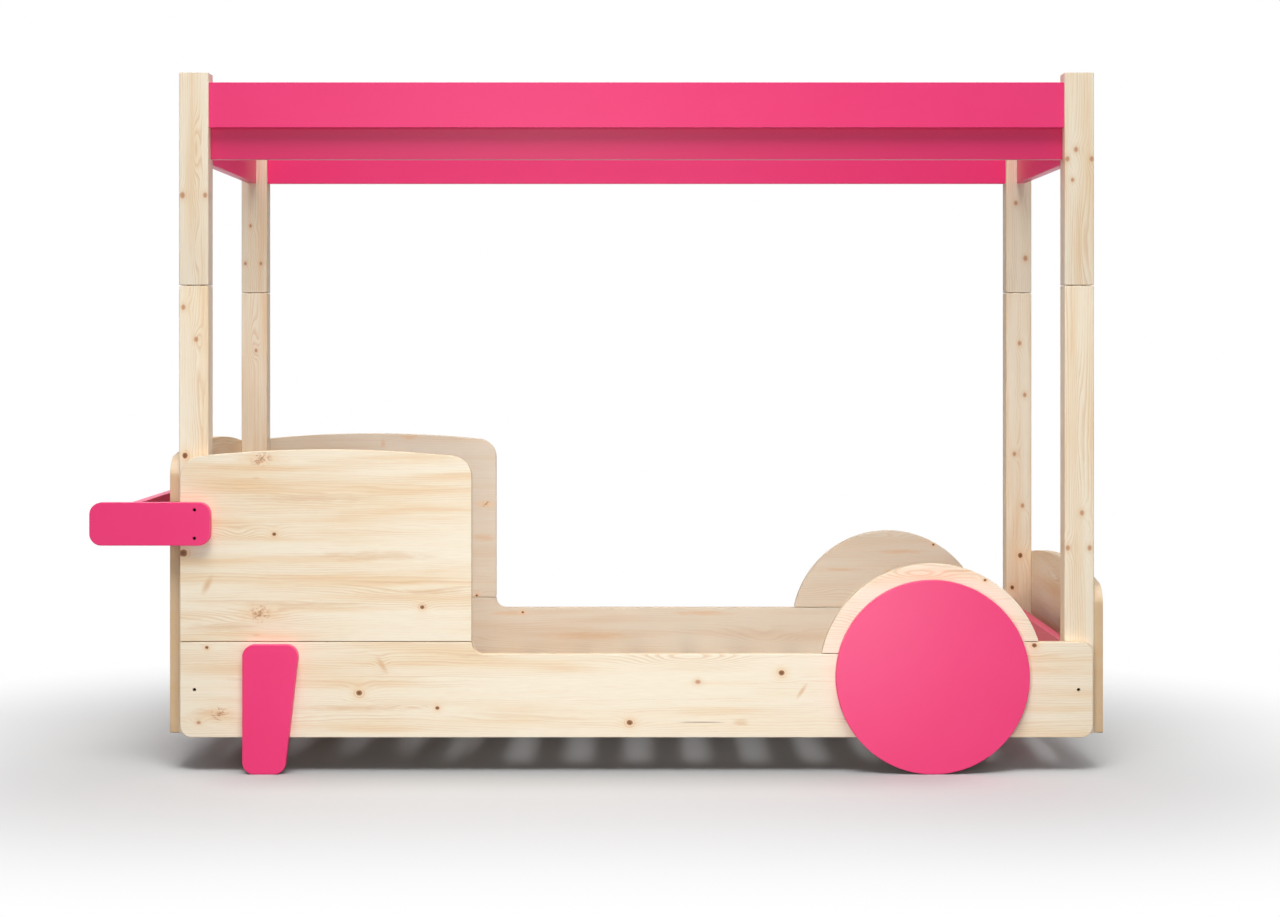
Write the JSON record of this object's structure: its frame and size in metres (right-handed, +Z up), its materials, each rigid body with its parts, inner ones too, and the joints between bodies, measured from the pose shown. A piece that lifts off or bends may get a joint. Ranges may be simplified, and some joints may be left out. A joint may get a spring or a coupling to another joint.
{
  "type": "car bed for children",
  "caption": "Child's bed shaped like a small open car: crowned bonnet panels, low entry sill, wheel arches with disc wheels, front bumper, slatted base and posts with a canopy frame.",
  "frame": {"origin": "middle of the overall box, on the floor the bed stands on", "axes": "+Z up, the front of the car and its bumper towards -X, the left side of the car towards -Y"},
  "size_m": [2.3624, 0.999, 1.634],
  "materials": {
    "pine": "pale, matt clear lacquer",
    "pink_lacquer": "board lacquered in satin pink",
    "beech": "bare",
    "steel": "zinc plated"
  },
  "bodies": {
    "root": {"side_rail_left": "pine", "side_rail_right": "pine", "bonnet_panel_left": "pine", "bonnet_panel_right": "pine", "wheel_arch_left": "pine", "wheel_arch_right": "pine", "rear_wheel_left": "pink_lacquer", "rear_wheel_right": "pink_lacquer", "front_leg_left": "pink_lacquer", "front_leg_right": "pink_lacquer", "bumper_side_left": "pink_lacquer", "bumper_side_right": "pink_lacquer", "bumper_cross_board": "pink_lacquer", "front_end_panel": "pine", "rear_end_panel": "pine", "front_end_rail": "pink_lacquer", "lower_post_front_left": "pine", "lower_post_front_right": "pine", "upper_post_front_left": "pine", "upper_post_front_right": "pine", "canopy_end_board_front": "pink_lacquer", "rear_end_rail": "pink_lacquer", "lower_post_rear_left": "pine", "lower_post_rear_right": "pine", "upper_post_rear_left": "pine", "upper_post_rear_right": "pine", "canopy_end_board_rear": "pink_lacquer", "canopy_fascia_left": "pink_lacquer", "canopy_fascia_right": "pink_lacquer", "canopy_side_board_left": "pink_lacquer", "canopy_side_board_right": "pink_lacquer", "slat_ledger_left": "pine", "slat_ledger_right": "pine", "slat_01": "pine", "slat_02": "pine", "slat_03": "pine", "slat_04": "pine", "slat_05": "pine", "slat_06": "pine", "slat_07": "pine", "slat_08": "pine", "slat_09": "pine", "slat_10": "pine", "slat_11": "pine", "slat_12": "pine", "slat_13": "pine", "slat_14": "pine", "rail_bolts": "steel", "bumper_bolts": "steel", "side_inserts": "steel", "end_panel_bolts": "steel", "end_panel_inserts": "steel", "panel_dowels": "beech", "post_dowels": "beech", "frame_dowels": "beech", "wheel_screws": "steel", "leg_screws": "steel", "ledger_screws": "steel", "slat_screws": "steel", "fascia_screws": "steel"}
  },
  "joints": []
}
